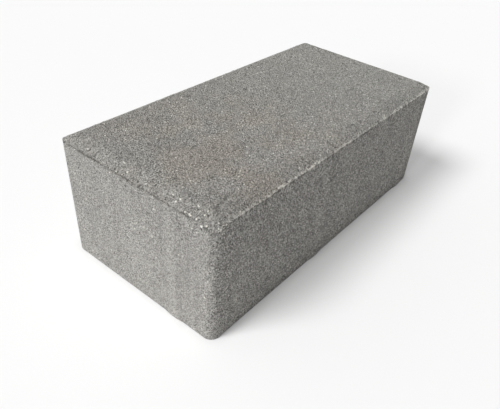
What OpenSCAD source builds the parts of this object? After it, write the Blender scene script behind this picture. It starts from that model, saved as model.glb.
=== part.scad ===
// Rectangular concrete paving block. The top face has a chamfer all round, and
// shallow upright ridges on the four sides keep a joint open between neighbours.
// The origin is at the middle of the underside, with X along the length.

/* [Block] */
// Length of the block between its end faces
block_length = 200; // [150:5:300]
// Width of the block between its long faces
block_width = 100; // [80:5:200]
// Height of the block
block_height = 70; // [40:5:120]
// Radius of the four upright corners
corner_radius = 5; // [2:0.5:8]

/* [Chamfer] */
// How far the chamfer reaches in from the side faces
chamfer_run = 7; // [4:0.5:10]
// How far the chamfer drops below the top face
chamfer_drop = 4; // [2:0.5:8]

/* [Ridges] */
// Width of a ridge along its face
ridge_width = 12; // [8:1:16]
// How far a ridge stands out from its face
ridge_depth = 0.6; // [0.4:0.1:2]
// Gap between the top of a ridge and the lower edge of the chamfer
ridge_gap = 2; // [1:0.5:10]
// Height over which the top of a ridge slopes back into its face
ridge_slope_height = 4; // [2:0.5:10]
// Distance of each long-face ridge from the end of its half of the face
long_ridge_inset = 16; // [14:1:40]
// Distance of the end-face ridge from the corner it is nearer to
end_ridge_inset = 25; // [14:1:60]

/* [Hidden] */
$fn = 96;

half_length = block_length / 2;
half_width = block_width / 2;
// How far a chamfer's plane, carried on down to the underside, reaches outwards
slope_reach = chamfer_run / chamfer_drop * block_height;
ridge_height = block_height - chamfer_drop - ridge_gap;
ridge_straight_height = ridge_height - ridge_slope_height;
// An arc of this radius is ridge_width across and ridge_depth high.
ridge_arc_radius = (pow(ridge_width / 2, 2) + pow(ridge_depth, 2)) / (2 * ridge_depth);
// How far a ridge is sunk into the block behind its face
ridge_root = 2;

// Outline of the block seen from above, without its ridges.
module outline() {
    square([block_length - 2 * corner_radius, block_width], center = true);
    square([block_length, block_width - 2 * corner_radius], center = true);
    for (x = [-1, 1], y = [-1, 1])
        translate([x * (half_length - corner_radius), y * (half_width - corner_radius)])
            circle(r = corner_radius);
}

// Prism along X whose two long sides slope like the chamfer. half_top is half its
// width at the height of the top face.
module sloped_prism(length, half_top) {
    translate([-length / 2, 0, 0])
        rotate([90, 0, 90])
            linear_extrude(height = length)
                polygon([
                    [-half_top - slope_reach, 0],
                    [half_top + slope_reach, 0],
                    [half_top, block_height],
                    [-half_top, block_height]
                ]);
}

// Rounded block with its top chamfered. The prisms run on past its ends, and their
// slopes meet in a mitre at each corner.
module chamfered_block() {
    intersection() {
        linear_extrude(height = block_height) outline();
        sloped_prism(2 * block_length, half_width - chamfer_run);
        rotate(90)
            sloped_prism(2 * block_width, half_length - chamfer_run);
    }
}

// One upright ridge. Its face is the plane y = 0, and it stands out towards -Y.
module ridge() {
    intersection() {
        translate([0, ridge_arc_radius - ridge_depth, 0]) {
            cylinder(h = ridge_straight_height, r = ridge_arc_radius);
            // The cone reaches the face at ridge_height and ends inside the block.
            translate([0, 0, ridge_straight_height])
                cylinder(
                    h = 2 * ridge_slope_height,
                    r1 = ridge_arc_radius,
                    r2 = ridge_arc_radius - 2 * ridge_depth
                );
        }
        // Behind the face it is cut off below the chamfer and short of the block's corners.
        translate([-ridge_width / 2 - ridge_root, -2 * ridge_depth, 0])
            cube([
                ridge_width + 2 * ridge_root,
                2 * ridge_depth + ridge_root,
                ridge_height + ridge_gap / 2
            ]);
    }
}

// The ridges of one long face and one end face.
module side_ridges() {
    for (half_end = [0, half_length])
        translate([half_end - long_ridge_inset, -half_width, 0])
            ridge();
    translate([-half_length, end_ridge_inset - half_width, 0])
        rotate(-90)
            ridge();
}

module paving_block() {
    color([0.56, 0.55, 0.53]) {
        chamfered_block();
        // A half turn about the middle repeats the ridges on the other two sides.
        for (turn = [0, 180])
            rotate(turn) side_ridges();
    }
}

paving_block();
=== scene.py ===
"""Looks of a dry-cast concrete paving block.

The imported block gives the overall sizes. A finer mesh of the same shape stands for it here, with
worn edges, a ragged rim round the chamfer, sandy relief, pits and drag marks pressed into its
surface, and one procedural concrete material over it all. Lengths are in millimetres until the
mesh is written, and the scene itself is in metres.
"""

from math import cos, exp, hypot, radians, sin, sqrt

import bpy
from mathutils import Matrix, Vector, noise
from mathutils.geometry import delaunay_2d_cdt


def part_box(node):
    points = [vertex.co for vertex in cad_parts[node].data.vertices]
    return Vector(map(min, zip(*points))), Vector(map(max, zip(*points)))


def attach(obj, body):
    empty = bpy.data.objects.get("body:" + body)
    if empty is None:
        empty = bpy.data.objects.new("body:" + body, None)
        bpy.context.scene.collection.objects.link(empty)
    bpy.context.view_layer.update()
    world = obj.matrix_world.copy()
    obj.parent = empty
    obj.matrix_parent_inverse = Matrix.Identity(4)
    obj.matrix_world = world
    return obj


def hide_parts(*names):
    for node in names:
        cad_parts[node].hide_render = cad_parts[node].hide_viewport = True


MM = 0.001
NODE = "paving_block"

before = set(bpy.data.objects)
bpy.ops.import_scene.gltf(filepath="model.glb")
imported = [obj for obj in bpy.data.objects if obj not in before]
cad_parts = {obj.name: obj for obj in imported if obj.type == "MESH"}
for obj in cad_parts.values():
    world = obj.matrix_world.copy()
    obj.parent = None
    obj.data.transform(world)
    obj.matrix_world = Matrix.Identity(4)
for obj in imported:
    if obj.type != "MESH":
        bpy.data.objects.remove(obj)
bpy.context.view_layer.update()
low_corner, high_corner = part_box(NODE)

# Sizes of the block that its box doesn't give, in millimetres, as in the part's source.
CORNER_RADIUS = 5.0
CHAMFER_RUN = 7.0
CHAMFER_DROP = 4.0
RIDGE_WIDTH = 12.0
RIDGE_DEPTH = 0.6
RIDGE_GAP = 2.0
RIDGE_SLOPE_HEIGHT = 4.0
LONG_RIDGE_INSET = 16.0
END_RIDGE_INSET = 25.0

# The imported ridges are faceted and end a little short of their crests, so these are rounded.
HALF_LENGTH = round(high_corner.x / MM - RIDGE_DEPTH, 1)
HALF_WIDTH = round(high_corner.y / MM - RIDGE_DEPTH, 1)
HEIGHT = round(high_corner.z / MM, 1)
RIDGE_HEIGHT = HEIGHT - CHAMFER_DROP - RIDGE_GAP
RIDGE_ARC_RADIUS = ((RIDGE_WIDTH / 2) ** 2 + RIDGE_DEPTH ** 2) / (2 * RIDGE_DEPTH)
LONG_RIDGES = (-LONG_RIDGE_INSET, HALF_LENGTH - LONG_RIDGE_INSET)
END_RIDGE = END_RIDGE_INSET - HALF_WIDTH

# Spacing of the mesh, with half the spacing round the rim, where the edge is most broken.
STEP = 0.86
CORNER_STEPS = 5
UNDERSIDE_STEP = 3.0
# What Blender's triangulation is asked for: the triangles inside the outline, to this tolerance
TRIANGLES_INSIDE = 1
TRIANGLE_TOLERANCE = 1e-6
# Rings of the rim: how far they lie in from the outline on the chamfer, and below it on the sides
RIM_INSETS = (1.5, 1.25, 1.0, 0.8, 0.6, 0.4, 0.2, 0.0)
RIM_DROPS = (0.3, 0.6, 1.0, 1.5, 2.1)
RIM_ZONE = 1.8
WALL_DROP = 2.9
FOOT_LEVELS = (1.0, 0.4, 0.0)

# Wear of the crease between top and chamfer, with the share, size and slice of its noise
CREASE_WEAR = 1.5
CREASE_NOISE_SHARE = 0.5
CREASE_NOISE_SIZE = 5
CREASE_NOISE_SLICE = 9
# Wear of the mitre where two chamfers meet at a corner
MITRE_WEAR = 2.0
# The front left corner is worn down by this much at most, and less away from it.
LEFT_CORNER_WEAR = 3.0
LEFT_CORNER_REACH = 4.5
# The chamfer bulges: its slope grows outwards by this power.
CHAMFER_BULGE = 1.35
FOOT_WEAR = 0.2
# Over this length the chamfer of an end turns into that of a long side.
FACING_BLEND = 2.0

# Rim of pale crumbs that the press squeezes up round the chamfer. Along the block's ends it has
# a groove just inside it.
RIM_WIDTH = 0.5
PALE_WIDTH = 1.25
RIM_HEIGHT = 0.4
RIM_OVERHANG = 0.35
BACK_RIM_SHARE = 0.45
CORNER_RIM_SHARE = 0.4
# Build-up of the rim: a base, and noise of a size, from a slice of its own, with a strength
CRUMB_BASE = 0.6
CRUMB_NOISE = ((1.1, 3, 1.3), (2.6, 70, 0.6), (17, 50, 0.5))
HIGHEST_CRUMB = 1.5
# Tint of the rim: above 0 is pale and below it painted shade. The back rim gets painted shade.
BACK_RIM_SHADE = -0.8
# Tint of the sides just below the rim: pale where crumbs hang down, and painted shadow where they have
# fallen out
BELOW_RIM_TINT_AND_SHADOW = 4.5
BELOW_RIM_LEVEL = 0.65
BELOW_RIM_WIDTH = 1.2
GROOVE_INSET = 0.65
GROOVE_WIDTH = 0.25
GROOVE_DEPTH = 0.5
# Share of the groove's depth that doesn't follow the crumbs, and how much it varies along an end
GROOVE_EVEN_SHARE = 0.55
GROOVE_SLANT = 0.3


# ---------------------------------------------------------------- shape of the block

def rounded_rectangle_distance(x, y, half_x, half_y, radius):
    """Distance from (x, y) out to a rounded rectangle about the origin, negative inside it."""
    over_x = abs(x) - (half_x - radius)
    over_y = abs(y) - (half_y - radius)
    return hypot(max(over_x, 0.0), max(over_y, 0.0)) + min(max(over_x, over_y), 0.0) - radius


def rounded_ramp(value, width):
    """0 below zero and value above it, with the kink between them rounded over +-width."""
    if value <= -width:
        return 0.0
    if value >= width:
        return value
    return (value + width) ** 2 / (4 * width)


def waves(position, size, shift=(0, 0, 0)):
    """Smooth noise from -1 to 1 whose bumps are about this size in millimetres."""
    return noise.noise(position / size + Vector(shift))


def crumbs(x, y):
    """How far the rim is built up at a place on the outline, from 0 to HIGHEST_CRUMB."""
    level = CRUMB_BASE
    for size, slice_height, strength in CRUMB_NOISE:
        level += strength * waves(Vector((x, y, slice_height)), size)
    return min(max(0.0, level), HIGHEST_CRUMB)


def top_height(x, y):
    """Height of the top face and chamfer at a point of the plan, without the rim."""
    beyond_x = abs(x) - HALF_LENGTH + CHAMFER_RUN
    beyond_y = abs(y) - HALF_WIDTH + CHAMFER_RUN
    # The farther of the two, where two chamfers meet at a worn mitre
    beyond_crease = beyond_x + rounded_ramp(beyond_y - beyond_x, MITRE_WEAR)
    uneven = waves(Vector((x, y, CREASE_NOISE_SLICE)), CREASE_NOISE_SIZE)
    wear = CREASE_WEAR * (1 + CREASE_NOISE_SHARE * uneven)
    chamfer = CHAMFER_DROP * (rounded_ramp(beyond_crease, wear) / CHAMFER_RUN) ** CHAMFER_BULGE
    from_corner = hypot(x + HALF_LENGTH, y + HALF_WIDTH)
    return HEIGHT - chamfer - LEFT_CORNER_WEAR * exp(-((from_corner / LEFT_CORNER_REACH) ** 2))


def top_facing(x, y):
    """1 on the chamfers of the long sides, -1 on those of the ends, and 0 on the flat top."""
    beyond_x = max(0.0, abs(x) - HALF_LENGTH + CHAMFER_RUN)
    beyond_y = max(0.0, abs(y) - HALF_WIDTH + CHAMFER_RUN)
    return max(-1.0, min(1.0, (beyond_y - beyond_x) / FACING_BLEND))


def ridge_swell(along, z):
    """How far a spacer ridge stands out at this distance from its middle line and this height."""
    slope_start = RIDGE_HEIGHT - RIDGE_SLOPE_HEIGHT
    drawn_in = RIDGE_DEPTH * max(0.0, (z - slope_start) / RIDGE_SLOPE_HEIGHT)
    radius = RIDGE_ARC_RADIUS - drawn_in
    if abs(along) >= radius:
        return 0.0
    return max(0.0, sqrt(radius * radius - along * along) - RIDGE_ARC_RADIUS + RIDGE_DEPTH)


class OutlinePlace:
    """A place on the block's outline: its point and the direction straight out of the side."""

    def __init__(self, x, y, out_x, out_y):
        self.x, self.y = x, y
        self.out_x, self.out_y = out_x, out_y
        # 1 on the long sides and -1 on the ends
        self.facing = out_y ** 2 - out_x ** 2

    def at(self, outwards):
        return self.x + self.out_x * outwards, self.y + self.out_y * outwards

    def swell(self, z):
        """How far the spacer ridges push this place out of its side at a height."""
        if abs(self.out_y) == 1:
            # A half turn about the middle makes the back face the front one.
            along = -self.out_y * self.x
            return max(ridge_swell(along - middle, z) for middle in LONG_RIDGES)
        if abs(self.out_x) == 1:
            return ridge_swell(-self.out_x * self.y - END_RIDGE, z)
        return 0.0


def side_lines(half_straight):
    """Grid lines across one direction: (place on the straight part, share of the way round a corner)."""
    count = round(2 * half_straight / STEP)
    straight = [(-half_straight + 2 * half_straight * i / count, 0.0) for i in range(count + 1)]
    corner = [i / CORNER_STEPS for i in range(1, CORNER_STEPS + 1)]
    start = [(-half_straight, -share) for share in reversed(corner)]
    end = [(half_straight, share) for share in corner]
    return start + straight + end


def halved(lines):
    """The same lines with one more halfway between each two."""
    between = [((a[0] + b[0]) / 2, (a[1] + b[1]) / 2) for a, b in zip(lines, lines[1:])]
    return [line for pair in zip(lines, between) for line in pair] + [lines[-1]]


def grid_point(line_x, line_y, inset):
    """Plan point where two grid lines cross, on a grid whose edge is inset from the outline."""
    centre_x, share_x = line_x
    centre_y, share_y = line_y
    radius = CORNER_RADIUS - inset
    # This bends the square grid of a corner into a quarter of a disc.
    x = centre_x + radius * share_x * sqrt(1 - share_y * share_y / 2)
    y = centre_y + radius * share_y * sqrt(1 - share_x * share_x / 2)
    return x, y


def outline_places(lines_x, lines_y):
    """The outline's places, anticlockwise from the front left corner."""
    front = [(line, lines_y[0]) for line in lines_x[:-1]]
    right = [(lines_x[-1], line) for line in lines_y[:-1]]
    back = [(line, lines_y[-1]) for line in lines_x[:0:-1]]
    left = [(lines_x[0], line) for line in lines_y[:0:-1]]
    places = []
    for line_x, line_y in front + right + back + left:
        x, y = grid_point(line_x, line_y, 0.0)
        centre_x, centre_y = line_x[0], line_y[0]
        places.append(OutlinePlace(x, y, (x - centre_x) / CORNER_RADIUS, (y - centre_y) / CORNER_RADIUS))
    return places


# ---------------------------------------------------------------- mesh

class Surface:
    """Points and faces of the block as they are collected, with what each point lies on."""

    def __init__(self):
        self.points = []
        self.faces = []
        self.on_top = []
        self.rim = []
        self.ridge = []
        self.facing = []

    def add(self, point, on_top=0.0, rim=0.0, ridge=0.0, facing=0.0):
        self.points.append(Vector(point))
        self.on_top.append(on_top)
        self.rim.append(rim)
        self.ridge.append(ridge)
        self.facing.append(facing)
        return len(self.points) - 1

    def join_rings(self, above, below):
        """Band of faces between two closed rings, where one may have twice the other's points."""
        count_above, count_below = len(above), len(below)
        for i in range(min(count_above, count_below)):
            if count_above == count_below:
                j = (i + 1) % count_above
                self.faces.append((below[i], below[j], above[j], above[i]))
            elif count_above < count_below:
                a, b = above[i], above[(i + 1) % count_above]
                c, d, e = (below[(2 * i + k) % count_below] for k in range(3))
                self.faces += [(c, d, a), (d, b, a), (d, e, b)]
            else:
                a, b = below[i], below[(i + 1) % count_below]
                c, d, e = (above[(2 * i + k) % count_above] for k in range(3))
                self.faces += [(a, d, c), (a, b, d), (b, e, d)]


def add_top(surface, lines_x, lines_y):
    """Grid over the top face and most of the chamfer. Returns its outer ring, anticlockwise."""
    grid = []
    for line_y in lines_y:
        row = []
        for line_x in lines_x:
            x, y = grid_point(line_x, line_y, RIM_ZONE)
            row.append(surface.add((x, y, top_height(x, y)), on_top=1.0, facing=top_facing(x, y)))
        grid.append(row)
    for lower, upper in zip(grid, grid[1:]):
        for i in range(len(lower) - 1):
            surface.faces.append((lower[i], lower[i + 1], upper[i + 1], upper[i]))
    right = [row[-1] for row in grid[:-1]]
    left = [row[0] for row in grid[:0:-1]]
    return grid[0][:-1] + right + grid[-1][:0:-1] + left


def add_rim(surface, ring, places):
    """Broken rim round the chamfer, at twice the points. Returns its lowest ring, on the sides."""
    built_up = []
    for place in places:
        share = BACK_RIM_SHARE if place.out_y > 0 else 1.0
        straightness = CORNER_RIM_SHARE + (1 - CORNER_RIM_SHARE) * place.facing ** 2
        built_up.append(crumbs(place.x, place.y) * share * straightness)
    for inset in RIM_INSETS:
        share = exp(-((inset / RIM_WIDTH) ** 4))
        pale = exp(-((inset / PALE_WIDTH) ** 4))
        groove = exp(-(((inset - GROOVE_INSET) / GROOVE_WIDTH) ** 2))
        next_ring = []
        for place, crumb in zip(places, built_up):
            x, y = place.at(crumb * share * RIM_OVERHANG - inset)
            # The groove is deeper at the back of the left end and, by a half turn, at the front
            # of the right end.
            slant = 1 - GROOVE_SLANT * place.out_x * place.y / HALF_WIDTH
            evenness = GROOVE_EVEN_SHARE + (1 - GROOVE_EVEN_SHARE) * crumb
            sunk = groove * place.out_x ** 2 * evenness * slant
            z = top_height(*place.at(-inset)) + crumb * share * RIM_HEIGHT - sunk * GROOVE_DEPTH
            tint = BACK_RIM_SHADE if place.out_y > 0 else crumb
            # Below 0 the rim attribute means painted shade: in the groove at the ends and along the back
            # rim
            rim = tint * pale * place.out_y ** 2 - sunk
            next_ring.append(surface.add((x, y, z), on_top=1.0, rim=rim, facing=place.facing))
        surface.join_rings(ring, next_ring)
        ring = next_ring
    for drop in RIM_DROPS:
        share = exp(-((drop / RIM_WIDTH) ** 2))
        tint = BELOW_RIM_TINT_AND_SHADOW * exp(-((drop / BELOW_RIM_WIDTH) ** 2))
        next_ring = []
        for place, crumb in zip(places, built_up):
            x, y = place.at(crumb * share * RIM_OVERHANG)
            z = top_height(place.x, place.y) - drop + crumb * share * RIM_HEIGHT
            # Pale where crumbs hang down, and painted shadow below the rim where they have fallen out
            rim = tint * (crumb - BELOW_RIM_LEVEL) * place.out_y ** 2
            next_ring.append(surface.add((x, y, z), on_top=share, rim=rim, facing=place.facing))
        surface.join_rings(ring, next_ring)
        ring = next_ring
    return ring


def add_walls(surface, ring, places):
    """Side walls from below the rim down. Returns the ring at the foot."""
    starts = [top_height(place.x, place.y) - WALL_DROP for place in places]
    rows = round((HEIGHT - CHAMFER_DROP - WALL_DROP - FOOT_LEVELS[0]) / STEP)
    shares = [1 - i / rows for i in range(rows)]
    levels = [[FOOT_LEVELS[0] + (start - FOOT_LEVELS[0]) * share for start in starts] for share in shares]
    levels += [[level] * len(places) for level in FOOT_LEVELS]
    for heights in levels:
        next_ring = []
        for place, z in zip(places, heights):
            foot = rounded_ramp(FOOT_WEAR - z, FOOT_WEAR)
            swell = place.swell(z)
            x, y = place.at(swell - foot)
            next_ring.append(surface.add((x, y, z), ridge=swell / RIDGE_DEPTH, facing=place.facing))
        surface.join_rings(ring, next_ring)
        ring = next_ring
    return ring


def add_underside(surface, ring):
    """Closes the bottom with triangles that grow coarser away from the edge."""
    boundary = [surface.points[index].xy for index in ring]
    inner = []
    for i in range(1, int(2 * HALF_LENGTH / UNDERSIDE_STEP)):
        for j in range(1, int(2 * HALF_WIDTH / UNDERSIDE_STEP)):
            x = (i + 0.5 * (j % 2)) * UNDERSIDE_STEP - HALF_LENGTH
            y = j * UNDERSIDE_STEP - HALF_WIDTH
            beyond_edge = rounded_rectangle_distance(x, y, HALF_LENGTH, HALF_WIDTH, CORNER_RADIUS)
            if beyond_edge < -UNDERSIDE_STEP / 2:
                inner.append(Vector((x, y)))
    edges = [(i, (i + 1) % len(boundary)) for i in range(len(boundary))]
    points, _, triangles, origins, _, _ = delaunay_2d_cdt(
        boundary + inner, edges, [], TRIANGLES_INSIDE, TRIANGLE_TOLERANCE
    )
    indices = []
    for point, origin in zip(points, origins):
        if origin[0] < len(ring):
            indices.append(ring[origin[0]])
        else:
            indices.append(surface.add((point.x, point.y, 0.0)))
    for a, b, c in triangles:
        surface.faces.append((indices[c], indices[b], indices[a]))


# ---------------------------------------------------------------- relief

PIT_DEPTH = 0.45
# Size of each kind of bump, and a shift that keeps it from following the others
FINE_GRAIN = (1.1, (0, 0, 0))
COARSE_GRAIN = (2.3, (31, 7, 3))
LUMPS = (7, (5, 17, 29))
LONG_WAVES = (38, (11, 2, 23))
DRAG_WIDTH = 1.3
DRAG_LENGTH = 16
# How high each rises: fine grain, coarse grain, upright drag marks, lumps and long waves
TOP_RISES = (0.06, 0.03, 0.0, 0.04, 0.08)
SIDE_RISES = (0.05, 0.02, 0.02, 0.03, 0.06)
# Scatters of pits: their spacing, their radius, and the share of places that have one
TOP_SMALL_PITS = (3.4, 0.95, 0.34)
TOP_LARGE_PITS = (8.0, 1.4, 0.25)
SIDE_SMALL_PITS = (4.6, 0.9, 0.16)
SIDE_LARGE_PITS = (15.0, 1.2, 0.3)
LARGE_PITS_SHIFT = (9, 9, 9)
# Far enough to give the middles of neighbouring cells levels of their own
CELL_SCALE = 7.3
SMALL_PIT_DEPTH_SHARE = 0.6
# Ends of the crack in the plan of the top
CRACK = ((-91.0, -42.5), (-82.5, -40.5))
CRACK_WIDTH = 1.2
CRACK_WANDER_SIZE = 1.5
# Middle and reach of a more pitted place on the chamfer, and the share of pits that it adds
PITTED_CORNER = (-95.0, 41.0, 68.0)
PITTED_CORNER_REACH = 8
PITTED_CORNER_SHARE = 0.4
# The relief starts this far in, so that its highest grains reach the block's true faces.
RELIEF_INSET = 0.06


def pit(position, spacing, radius, share):
    """Depth from 0 to 1 of a scatter of pits, which a given share of Voronoi cells hold."""
    distances, centres = noise.voronoi(position / spacing)
    if noise.cell(centres[0] * CELL_SCALE) > share:
        return 0.0
    reach = distances[0] * spacing / radius
    return max(0.0, 1 - reach * reach)


def crack(position):
    """Depth from 0 to 1 of a short ragged crack in the top."""
    start, end = (Vector(place) for place in CRACK)
    along = end - start
    share = max(0.0, min(1.0, (position.xy - start).dot(along) / along.length_squared))
    nearest = start + along * share
    wander = Vector((0, waves(position, CRACK_WANDER_SIZE)))
    return max(0.0, 1 - (position.xy - nearest - wander).length / CRACK_WIDTH)


def relief(position, on_top):
    """How far the surface is pushed out (or in, if negative) at a point, and how deep in a pit it is."""
    levels = (
        waves(position, *FINE_GRAIN),
        waves(position, *COARSE_GRAIN),
        noise.noise(Vector((position.x / DRAG_WIDTH, position.y / DRAG_WIDTH, position.z / DRAG_LENGTH))),
        waves(position, *LUMPS),
        waves(position, *LONG_WAVES),
    )
    rises = TOP_RISES if on_top else SIDE_RISES
    rise = sum(height * level for height, level in zip(rises, levels))
    spacing, radius, share = TOP_SMALL_PITS if on_top else SIDE_SMALL_PITS
    if on_top:
        from_corner = (position - Vector(PITTED_CORNER)).length
        share += PITTED_CORNER_SHARE * exp(-from_corner / PITTED_CORNER_REACH)
    depth = SMALL_PIT_DEPTH_SHARE * pit(position, spacing, radius, share)
    large_pits = TOP_LARGE_PITS if on_top else SIDE_LARGE_PITS
    depth += pit(position + Vector(LARGE_PITS_SHIFT), *large_pits)
    if on_top:
        depth += crack(position)
    depth = min(depth, 1.0)
    return rise - PIT_DEPTH * depth, depth


def press_relief(mesh, surface):
    """Moves the mesh's points by the relief. Returns how deep in a pit each one is."""
    normals = [Vector(item.vector) for item in mesh.vertex_normals]
    pits_of_points = []
    for index, point in enumerate(surface.points):
        push, pits = relief(point, surface.on_top[index] > 0.5)
        # The foot stays smooth.
        if point.z < FOOT_LEVELS[1]:
            push = 0.0
        pits_of_points.append(pits)
        moved = (point + normals[index] * (push - RELIEF_INSET)) * MM
        if point.z == 0:
            moved.z = 0.0
        mesh.vertices[index].co = inside_box(moved)
    return pits_of_points


def build_block():
    """The block as one closed mesh object, in metres."""
    surface = Surface()
    lines_x = side_lines(HALF_LENGTH - CORNER_RADIUS)
    lines_y = side_lines(HALF_WIDTH - CORNER_RADIUS)
    top_ring = add_top(surface, lines_x, lines_y)
    rim_ring = add_rim(surface, top_ring, outline_places(halved(lines_x), halved(lines_y)))
    foot_ring = add_walls(surface, rim_ring, outline_places(lines_x, lines_y))
    add_underside(surface, foot_ring)

    mesh = bpy.data.meshes.new("concrete_block")
    mesh.from_pydata([point * MM for point in surface.points], [], surface.faces)
    mesh.update()
    attributes = {
        "on_top": surface.on_top,
        "pits": press_relief(mesh, surface),
        "rim": surface.rim,
        "ridge": surface.ridge,
        "facing": surface.facing,
    }
    for name, values in attributes.items():
        mesh.attributes.new(name, "FLOAT", "POINT").data.foreach_set("value", values)
    mesh.shade_smooth()
    mesh.update()
    block = bpy.data.objects.new("concrete_block", mesh)
    bpy.context.scene.collection.objects.link(block)
    return block


def inside_box(point):
    """The point, in metres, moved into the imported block's box if it's outside."""
    return [min(max(value, low), high) for value, low, high in zip(point, low_corner, high_corner)]


# ---------------------------------------------------------------- material

def srgb(red, green, blue):
    """A colour given in 0 to 255 sRGB as the linear colour that shaders use."""
    def linear(level):
        share = level / 255
        return share / 12.92 if share <= 0.04045 else ((share + 0.055) / 1.055) ** 2.4
    return (linear(red), linear(green), linear(blue), 1.0)


class Nodes:
    """Short ways to add the shader nodes of a material or of the world."""

    def __init__(self, owner):
        owner.use_nodes = True
        self.tree = owner.node_tree
        self.tree.nodes.clear()

    def add(self, kind, **settings):
        node = self.tree.nodes.new(kind)
        for name, value in settings.items():
            setattr(node, name, value)
        return node

    def put(self, socket, value):
        """Links a socket or sets a plain value."""
        if isinstance(value, bpy.types.NodeSocket):
            self.tree.links.new(value, socket)
        else:
            socket.default_value = value

    def noise(self, vector, size_mm, detail=2.0, roughness=0.5):
        node = self.add("ShaderNodeTexNoise")
        self.put(node.inputs["Vector"], vector)
        self.put(node.inputs["Scale"], 1 / (size_mm * MM))
        self.put(node.inputs["Detail"], detail)
        self.put(node.inputs["Roughness"], roughness)
        return node.outputs["Fac"]

    def cells(self, vector, size_mm):
        """Voronoi cells: the distance from each cell's middle, and a random level per cell."""
        node = self.add("ShaderNodeTexVoronoi")
        self.put(node.inputs["Vector"], vector)
        self.put(node.inputs["Scale"], 1 / (size_mm * MM))
        parts = self.add("ShaderNodeSeparateColor")
        self.put(parts.inputs["Color"], node.outputs["Color"])
        return node.outputs["Distance"], parts.outputs["Red"]

    def spread(self, value, from_low, from_high, to_low=0.0, to_high=1.0):
        node = self.add("ShaderNodeMapRange")
        self.put(node.inputs["Value"], value)
        self.put(node.inputs["From Min"], from_low)
        self.put(node.inputs["From Max"], from_high)
        self.put(node.inputs["To Min"], to_low)
        self.put(node.inputs["To Max"], to_high)
        return node.outputs["Result"]

    def math(self, operation, first, second):
        node = self.add("ShaderNodeMath", operation=operation)
        self.put(node.inputs[0], first)
        self.put(node.inputs[1], second)
        return node.outputs["Value"]

    def mix(self, share, first, second, blend="MIX"):
        node = self.add("ShaderNodeMix", data_type="RGBA", blend_type=blend)
        # Its inputs 6 and 7 and its output 2 are the ones for colours.
        self.put(node.inputs[0], share)
        self.put(node.inputs[6], first)
        self.put(node.inputs[7], second)
        return node.outputs[2]

    def shade(self, colour, value, low, high, contrast):
        """The colour made darker where value is low and lighter where it is high, by a contrast share."""
        spread = self.spread(value, low, high, -1.0, 1.0)
        brightness = self.math("ADD", 1.0, self.math("MULTIPLY", spread, contrast))
        return self.mix(1.0, colour, brightness, blend="MULTIPLY")

    def moved(self, vector, operation, amounts):
        """The vector with amounts, in millimetres, added to it, or multiplied by plain amounts."""
        node = self.add("ShaderNodeVectorMath", operation=operation)
        self.put(node.inputs[0], vector)
        self.put(node.inputs[1], Vector(amounts) * (MM if operation == "ADD" else 1))
        return node.outputs["Vector"]

    def near(self, vector, middle, inner, outer):
        """1 within inner of a place in millimetres, falling to 0 at outer."""
        node = self.add("ShaderNodeVectorMath", operation="DISTANCE")
        self.put(node.inputs[0], vector)
        self.put(node.inputs[1], Vector(middle) * MM)
        return self.spread(node.outputs["Value"], inner * MM, outer * MM, 1.0, 0.0)

    def attribute(self, name):
        return self.add("ShaderNodeAttribute", attribute_name=name).outputs["Fac"]

    def by_face(self, on_top, facing, ends, long_sides, top):
        """One number on the ends, another on the long sides and another on the top."""
        on_sides = self.spread(facing, -1.0, 1.0, ends, long_sides)
        return self.spread(on_top, 0.0, 1.0, on_sides, top)

    def only_sides(self, on_top, amount):
        """The amount on the sides, falling to 0 on the top."""
        return self.spread(on_top, 0.0, 1.0, amount, 0.0)

    def only_top(self, on_top, amount):
        """The amount on the top, falling to 0 on the sides."""
        return self.spread(on_top, 0.0, 1.0, 0.0, amount)


TOP_COLOUR = (148, 146, 141.5)
SIDE_COLOUR = (161, 159, 154.5)
WARM_COLOUR = (152, 145, 136)
COOL_COLOUR = (147, 147.5, 142)
LIGHT_GRAIN_COLOUR = (226, 223, 214)
# Dark colour painted as the shade of small holes and of the hole below the pebble
HOLE_SHADE_COLOUR = (52, 50, 48)
CRUMB_COLOUR = (212, 209, 201)
# Dark colour painted as shade in pits, rim gaps, the groove, along the back rim and at a corner
PAINTED_SHADE_COLOUR = (66, 64, 61)
PEBBLE_COLOUR = (252, 250, 244)
# Middles of the warm stain and of patches of light sand
STAIN = (-50, -20, 70)
SANDY_PATCHES = ((-6, -29, 70), (-38, -34, 70), (-97, -39, 67), (-95, -50, 65))
# Within the first reach these are at their full strength, and beyond the second they are gone.
STAIN_REACH = (30, 80)
STAIN_SPOT_SIZE = 24
STAIN_SPOT_SHIFT = (32, 0, 0)
SANDY_REACH = (2, 8)
# One white pebble in the rim, and painted shade for a hole below it
PEBBLE = (-100.0, -43.3, 65.7)
PEBBLE_REACH = (0.5, 0.75)
PEBBLE_HOLE_SHADE = (-100.0, -43.2, 64.4)
PEBBLE_HOLE_SHADE_REACH = (0.35, 0.65)
# Painted shade makes the upright corner at front right duller.
SHADED_CORNER = (HALF_LENGTH, -HALF_WIDTH, 0)
SHADED_CORNER_REACH = (4, 10)
SHADED_CORNER_SHARE = 0.2
# How much lighter or darker these make the paste
# Painted light: the sides a little lighter towards the foot, against the shade there
FOOT_PAINTED_LIGHT = 0.035
PATCH_CONTRAST = 0.06
PATCH_SIZE = 18
RIGHT_END_CONTRAST = 0.04
# Painted light on the chamfers of the long sides and painted shade on those of the ends
FACING_LIGHT_AND_SHADE = 0.045
STREAK_CONTRAST = 0.05
STREAK_WIDTH = 2.2
# Width of a streak as a share of its length
STREAK_SLIMNESS = 0.08
# Painted highlight on the ridges' crests and painted shade at their feet
RIDGE_LIGHT_AND_SHADE = 0.08
COOL_SHARE = 0.3
# Far below the block, so that the distance from it grows with the height alone
FAR_BELOW = 1000
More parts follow.
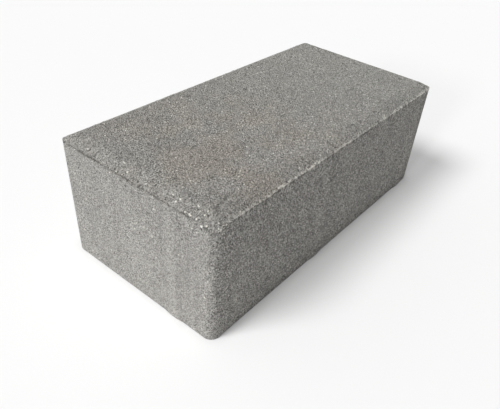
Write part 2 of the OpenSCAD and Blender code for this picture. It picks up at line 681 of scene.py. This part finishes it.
# Sand: size of the grains, and their contrast on the ends, on the long sides and on the top
SAND_SIZE = 0.4
SAND_CONTRASTS = (0.58, 0.77, 0.67)
COARSE_SAND_SIZE = 0.9
COARSE_SAND_CONTRASTS = (0.04, 0.32, 0.06)
COARSE_SAND_SHIFT = (7, 7, 7)
# The sand's contrast is uneven, in patches of this size.
UNEVEN_SIZE = 14
# Sparse light grains and painted shade of small holes: their spacing, the share of places that have
# each of them on the ends, on the long sides and on the top, and what a sandy patch adds to that share
SPARSE_SPACING = 1.4
SPARSE_SHARES = (0.012, 0.035, 0.065)
SPARSE_SHIFT = (23, 23, 23)
SANDY_GRAIN_SHARE = 0.25
SANDY_HOLE_SHADE_SHARE = 0.1
LIGHT_GRAIN_STRENGTH = 0.85
HOLE_SHADE_STRENGTH = 0.8
# Rim: size of its crumbs and gaps, length of its paler and plainer stretches, and how dark its painted
# shade gets
RIM_CRUMB_SIZE = 1.1
RIM_STRETCH_SIZE = 30
RIM_GAP_SHADE_STRENGTH = 0.7
GROOVE_SHADE_STRENGTH = 0.55
# Share of painted shade in the pits and the crack
PIT_SHADE_SHARE = 0.5
# Fine bumps of the paste that are too small for the mesh, and how high they rise
BUMP_SIZE = 0.5
BUMP_HEIGHT = 0.5
# Roughness in the hollows and on the crests of the fine bumps
ROUGHNESS = (0.8, 0.97)
SPECULAR_LEVEL = 0.3


def concrete_material():
    """Grey dry-cast concrete: cement paste with sand grains in it, pits and faint stains, and light and
    shade painted into its colour in places.
    """
    material = bpy.data.materials.new("concrete")
    nodes = Nodes(material)
    place = nodes.add("ShaderNodeTexCoord").outputs["Object"]
    on_top = nodes.attribute("on_top")
    facing = nodes.attribute("facing")

    colour = paste_colour(nodes, place, on_top, facing)
    colour, grain_height = add_sand(nodes, place, colour, on_top, facing)
    colour = add_sparse_grains(nodes, place, colour, on_top, facing)
    colour = add_rim_colour(nodes, place, colour)
    colour = add_pebble(nodes, place, colour)
    colour = add_ridge_light_and_shade(nodes, colour)
    # Painted shade in the pits and the crack
    pits = nodes.spread(nodes.attribute("pits"), 0.0, 1.0, 0.0, PIT_SHADE_SHARE)
    colour = nodes.mix(pits, colour, srgb(*PAINTED_SHADE_COLOUR))

    fine = nodes.noise(place, BUMP_SIZE, detail=3.0, roughness=0.6)
    height = nodes.math("ADD", grain_height, fine)
    bump = nodes.add("ShaderNodeBump")
    nodes.put(bump.inputs["Height"], height)
    nodes.put(bump.inputs["Strength"], 1.0)
    nodes.put(bump.inputs["Distance"], BUMP_HEIGHT * MM)

    shader = nodes.add("ShaderNodeBsdfPrincipled")
    nodes.put(shader.inputs["Base Color"], colour)
    nodes.put(shader.inputs["Roughness"], nodes.spread(fine, 0.2, 0.8, *ROUGHNESS))
    nodes.put(shader.inputs["Specular IOR Level"], SPECULAR_LEVEL)
    nodes.put(shader.inputs["Normal"], bump.outputs["Normal"])
    output = nodes.add("ShaderNodeOutputMaterial")
    nodes.put(output.inputs["Surface"], shader.outputs["BSDF"])
    return material


def paste_colour(nodes, place, on_top, facing):
    """Cement paste in soft patches and upright streaks, with painted light making the sides a little
    lighter towards the foot.

    The top has a warm stain, is lighter and cooler at its right, and has painted light on its front and
    back chamfers and painted shade on those of the ends. Painted shade darkens the upright corner at
    front right.
    """
    colour = nodes.mix(on_top, srgb(*SIDE_COLOUR), srgb(*TOP_COLOUR))
    spots = nodes.noise(nodes.moved(place, "ADD", STAIN_SPOT_SHIFT), STAIN_SPOT_SIZE, detail=3.0)
    spots = nodes.spread(spots, 0.4, 0.58, 0.0, 0.6)
    stain = nodes.math("MULTIPLY", nodes.near(place, STAIN, *STAIN_REACH), spots)
    colour = nodes.mix(nodes.math("MULTIPLY", stain, on_top), colour, srgb(*WARM_COLOUR))
    # 1 at the foot and 0 at the top
    lowness = nodes.near(place, (0, 0, -FAR_BELOW), FAR_BELOW, FAR_BELOW + HEIGHT)
    # Painted light: the sides a little lighter towards the foot
    colour = nodes.shade(colour, lowness, 0.0, 1.0, nodes.only_sides(on_top, FOOT_PAINTED_LIGHT))
    patches = nodes.noise(place, PATCH_SIZE, detail=4.0, roughness=0.6)
    colour = nodes.shade(colour, patches, 0.3, 0.7, PATCH_CONTRAST)
    # 1 at the right end of the top and 0 at its left
    rightness = nodes.near(place, (HALF_LENGTH, 0, HEIGHT), 0, 2 * HALF_LENGTH)
    cool = nodes.math("MULTIPLY", nodes.spread(rightness, 0.3, 0.7, 0.0, COOL_SHARE), on_top)
    colour = nodes.mix(cool, colour, srgb(*COOL_COLOUR))
    colour = nodes.shade(colour, rightness, 0.0, 1.0, nodes.only_top(on_top, RIGHT_END_CONTRAST))
    # Painted light on the chamfers of the long sides, painted shade on those of the ends
    colour = nodes.shade(colour, facing, -1.0, 1.0, nodes.only_top(on_top, FACING_LIGHT_AND_SHADE))
    # Painted shade on the upright corner at front right
    in_plan = nodes.moved(place, "MULTIPLY", (1, 1, 0))
    corner_shade = nodes.near(in_plan, SHADED_CORNER, *SHADED_CORNER_REACH)
    corner_shade = nodes.math("MULTIPLY", corner_shade, nodes.only_sides(on_top, SHADED_CORNER_SHARE))
    colour = nodes.mix(corner_shade, colour, srgb(*PAINTED_SHADE_COLOUR))
    drawn_up = nodes.moved(place, "MULTIPLY", (1, 1, STREAK_SLIMNESS))
    streaks = nodes.noise(drawn_up, STREAK_WIDTH, detail=2.0)
    return nodes.shade(colour, streaks, 0.3, 0.7, nodes.only_sides(on_top, STREAK_CONTRAST))


def add_sand(nodes, place, colour, on_top, facing):
    """Sand grains over the paste. Returns the colour and the height of the grains."""
    _, level = nodes.cells(place, SAND_SIZE)
    contrast = nodes.by_face(on_top, facing, *SAND_CONTRASTS)
    uneven = nodes.spread(nodes.noise(place, UNEVEN_SIZE), 0.35, 0.65, 0.85, 1.15)
    colour = nodes.shade(colour, level, 0.0, 1.0, nodes.math("MULTIPLY", contrast, uneven))
    distance, coarse_level = nodes.cells(nodes.moved(place, "ADD", COARSE_SAND_SHIFT), COARSE_SAND_SIZE)
    contrast = nodes.by_face(on_top, facing, *COARSE_SAND_CONTRASTS)
    colour = nodes.shade(colour, coarse_level, 0.0, 1.0, contrast)
    return colour, nodes.spread(distance, 0.0, 0.6, 1.0, 0.0)


def add_sparse_grains(nodes, place, colour, on_top, facing):
    """Light quartz grains and painted shade of small holes, more on top and most of all in the sandy
    patches.
    """
    distance, level = nodes.cells(nodes.moved(place, "ADD", SPARSE_SHIFT), SPARSE_SPACING)
    inside = nodes.spread(distance, 0.36, 0.26)
    on_ends, on_long_sides, at_top = SPARSE_SHARES
    share = nodes.spread(on_top, 0.0, 1.0, nodes.spread(facing, 0.0, 1.0, on_ends, on_long_sides), at_top)
    sandy = 0.0
    for patch in SANDY_PATCHES:
        sandy = nodes.math("MAXIMUM", sandy, nodes.near(place, patch, *SANDY_REACH))
    light_share = nodes.math("ADD", share, nodes.math("MULTIPLY", sandy, SANDY_GRAIN_SHARE))
    # Painted shade of small holes, in a share of places of its own
    hole_shade_share = nodes.math("ADD", share, nodes.math("MULTIPLY", sandy, SANDY_HOLE_SHADE_SHARE))
    light = nodes.math("GREATER_THAN", level, nodes.math("SUBTRACT", 1.0, light_share))
    hole_shade = nodes.math("LESS_THAN", level, hole_shade_share)
    light = nodes.math("MULTIPLY", nodes.math("MULTIPLY", light, inside), LIGHT_GRAIN_STRENGTH)
    hole_shade = nodes.math("MULTIPLY", nodes.math("MULTIPLY", hole_shade, inside), HOLE_SHADE_STRENGTH)
    colour = nodes.mix(light, colour, srgb(*LIGHT_GRAIN_COLOUR))
    return nodes.mix(hole_shade, colour, srgb(*HOLE_SHADE_COLOUR))


def add_rim_colour(nodes, place, colour):
    """Pale crumbs along the rim of the chamfer, with painted shade in their gaps, in its groove at the
    ends, along the back rim and just below the rim.
    """
    rim = nodes.attribute("rim")
    crumbling = nodes.noise(place, RIM_CRUMB_SIZE, detail=1.0)
    broken = nodes.spread(crumbling, 0.4, 0.58, 0.1, 1.0)
    stretches = nodes.spread(nodes.noise(place, RIM_STRETCH_SIZE), 0.4, 0.6, 0.5, 1.0)
    pale = nodes.math("MULTIPLY", nodes.spread(rim, 0.1, 0.7), nodes.math("MULTIPLY", broken, stretches))
    colour = nodes.mix(pale, colour, srgb(*CRUMB_COLOUR))
    # Painted shade in the gaps between the crumbs
    gap_shade = nodes.spread(crumbling, 0.42, 0.34, 0.0, RIM_GAP_SHADE_STRENGTH)
    gap_shade = nodes.math("MULTIPLY", nodes.spread(rim, 0.1, 0.5), gap_shade)
    colour = nodes.mix(gap_shade, colour, srgb(*PAINTED_SHADE_COLOUR))
    # Painted shade where the rim attribute is below 0: the groove, the back rim and below the rim
    groove = nodes.spread(rim, -0.2, -1.2, 0.0, GROOVE_SHADE_STRENGTH)
    return nodes.mix(groove, colour, srgb(*PAINTED_SHADE_COLOUR))


def add_pebble(nodes, place, colour):
    """A white pebble in the rim of the left end, with painted shade for a hole below it."""
    colour = nodes.mix(nodes.near(place, PEBBLE, *PEBBLE_REACH), colour, srgb(*PEBBLE_COLOUR))
    # Painted shade for a hole below the pebble
    pebble_hole_shade = nodes.near(place, PEBBLE_HOLE_SHADE, *PEBBLE_HOLE_SHADE_REACH)
    return nodes.mix(pebble_hole_shade, colour, srgb(*HOLE_SHADE_COLOUR))


def add_ridge_light_and_shade(nodes, colour):
    """Painted highlight along the crests of the spacer ridges, and painted shade at their feet."""
    ridge = nodes.attribute("ridge")
    feet_shade = nodes.math("MULTIPLY", nodes.spread(ridge, 0.0, 0.1), nodes.spread(ridge, 0.5, 0.1))
    height = nodes.math("SUBTRACT", nodes.spread(ridge, 0.5, 1.0, 0.0, 0.8), feet_shade)
    return nodes.shade(colour, height, -1.0, 1.0, RIDGE_LIGHT_AND_SHADE)


# ---------------------------------------------------------------- studio and camera

# The camera looks at this point, from this direction and distance, with a slight roll. Then it
# moves right and up by the offset without turning.
CAMERA_AIM = Vector((0.0, 0.0, 40.0))
CAMERA_AZIMUTH = radians(-54.86)
CAMERA_ELEVATION = radians(38.16)
CAMERA_ROLL = radians(5.67)
CAMERA_DISTANCE = 305.74
CAMERA_OFFSET = (-1.56, -41.84)
# Sensor and lens in millimetres, and the shift of the picture as a share of its width
SENSOR_WIDTH = 36.0
LENS = 37.89
SHIFT = (-0.0305, 0.0372)
NEAREST_SEEN = 0.01


def add_camera():
    back = Vector((
        sin(CAMERA_AZIMUTH) * cos(CAMERA_ELEVATION),
        -cos(CAMERA_AZIMUTH) * cos(CAMERA_ELEVATION),
        sin(CAMERA_ELEVATION),
    ))
    level_right = Vector((0, 0, 1)).cross(back).normalized()
    level_up = back.cross(level_right)
    right = cos(CAMERA_ROLL) * level_right + sin(CAMERA_ROLL) * level_up
    up = back.cross(right)
    place = CAMERA_AIM + back * CAMERA_DISTANCE + right * CAMERA_OFFSET[0] + up * CAMERA_OFFSET[1]
    data = bpy.data.cameras.new("camera")
    data.sensor_width = SENSOR_WIDTH
    data.lens = LENS
    data.shift_x, data.shift_y = SHIFT
    data.clip_start = NEAREST_SEEN
    camera = bpy.data.objects.new("camera", data)
    camera.matrix_world = Matrix((
        (right.x, up.x, back.x, place.x * MM),
        (right.y, up.y, back.y, place.y * MM),
        (right.z, up.z, back.z, place.z * MM),
        (0, 0, 0, 1),
    ))
    bpy.context.scene.collection.objects.link(camera)
    bpy.context.scene.camera = camera


# Half the side of the square floor, in metres
FLOOR_HALF_SIZE = 3.0
FLOOR_COLOUR = (0.865, 0.865, 0.865, 1.0)


def add_floor():
    mesh = bpy.data.meshes.new("floor")
    half = FLOOR_HALF_SIZE
    corners = [(-half, -half, 0), (half, -half, 0), (half, half, 0), (-half, half, 0)]
    mesh.from_pydata(corners, [], [(0, 1, 2, 3)])
    floor = bpy.data.objects.new("floor", mesh)
    material = bpy.data.materials.new("floor")
    nodes = Nodes(material)
    shader = nodes.add("ShaderNodeBsdfDiffuse")
    nodes.put(shader.inputs["Color"], FLOOR_COLOUR)
    output = nodes.add("ShaderNodeOutputMaterial")
    nodes.put(output.inputs["Surface"], shader.outputs["BSDF"])
    mesh.materials.append(material)
    bpy.context.scene.collection.objects.link(floor)


KEY_DIRECTION = (-0.6, 0.24, 0.76)
KEY_STRENGTH = 2.1
KEY_ANGLE = 22
# A low light from the left skims the long side, which brings out its grain and its ridges.
SKIM_DIRECTION = (-1.0, -0.12, 0.35)
SKIM_STRENGTH = 0.6
SKIM_ANGLE = 8
OVERHEAD_DIRECTION = (0, 0, 1)
OVERHEAD_STRENGTH = 0.85
OVERHEAD_ANGLE = 10
SKY_STRENGTH = 0.272
# How much brighter the sky is towards the left end and the back than overhead
SKY_SLOPE = (-0.192, 0.192, 0.0)
# Beyond the floor the camera sees an even pale backdrop instead of that sky.
BACKDROP_STRENGTH = 0.96


def add_sun(name, direction, strength, angle):
    """A distant light that shines from a direction, as wide as an angle in degrees."""
    data = bpy.data.lights.new(name, "SUN")
    data.energy = strength
    data.angle = radians(angle)
    sun = bpy.data.objects.new(name, data)
    sun.rotation_mode = "QUATERNION"
    sun.rotation_quaternion = Vector(direction).to_track_quat("Z", "Y")
    bpy.context.scene.collection.objects.link(sun)


def add_light():
    """A soft key light, a low one from the left, one overhead, and a sky that is dimmer in front."""
    add_sun("key", KEY_DIRECTION, KEY_STRENGTH, KEY_ANGLE)
    add_sun("skim", SKIM_DIRECTION, SKIM_STRENGTH, SKIM_ANGLE)
    add_sun("overhead", OVERHEAD_DIRECTION, OVERHEAD_STRENGTH, OVERHEAD_ANGLE)

    world = bpy.data.worlds.new("studio")
    nodes = Nodes(world)
    slope = nodes.add("ShaderNodeVectorMath", operation="DOT_PRODUCT")
    nodes.put(slope.inputs[0], nodes.add("ShaderNodeTexCoord").outputs["Generated"])
    nodes.put(slope.inputs[1], SKY_SLOPE)
    sky = nodes.math("ADD", slope.outputs["Value"], SKY_STRENGTH)
    seen = nodes.add("ShaderNodeLightPath").outputs["Is Camera Ray"]
    background = nodes.add("ShaderNodeBackground")
    nodes.put(background.inputs["Color"], (1.0, 1.0, 1.0, 1.0))
    nodes.put(background.inputs["Strength"], nodes.spread(seen, 0.0, 1.0, sky, BACKDROP_STRENGTH))
    output = nodes.add("ShaderNodeOutputWorld")
    nodes.put(output.inputs["Surface"], background.outputs["Background"])
    bpy.context.scene.world = world


block = build_block()
block.data.materials.append(concrete_material())
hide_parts(NODE)
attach(block, "root")
add_camera()
add_floor()
add_light()
bpy.context.scene.view_settings.view_transform = "Standard"
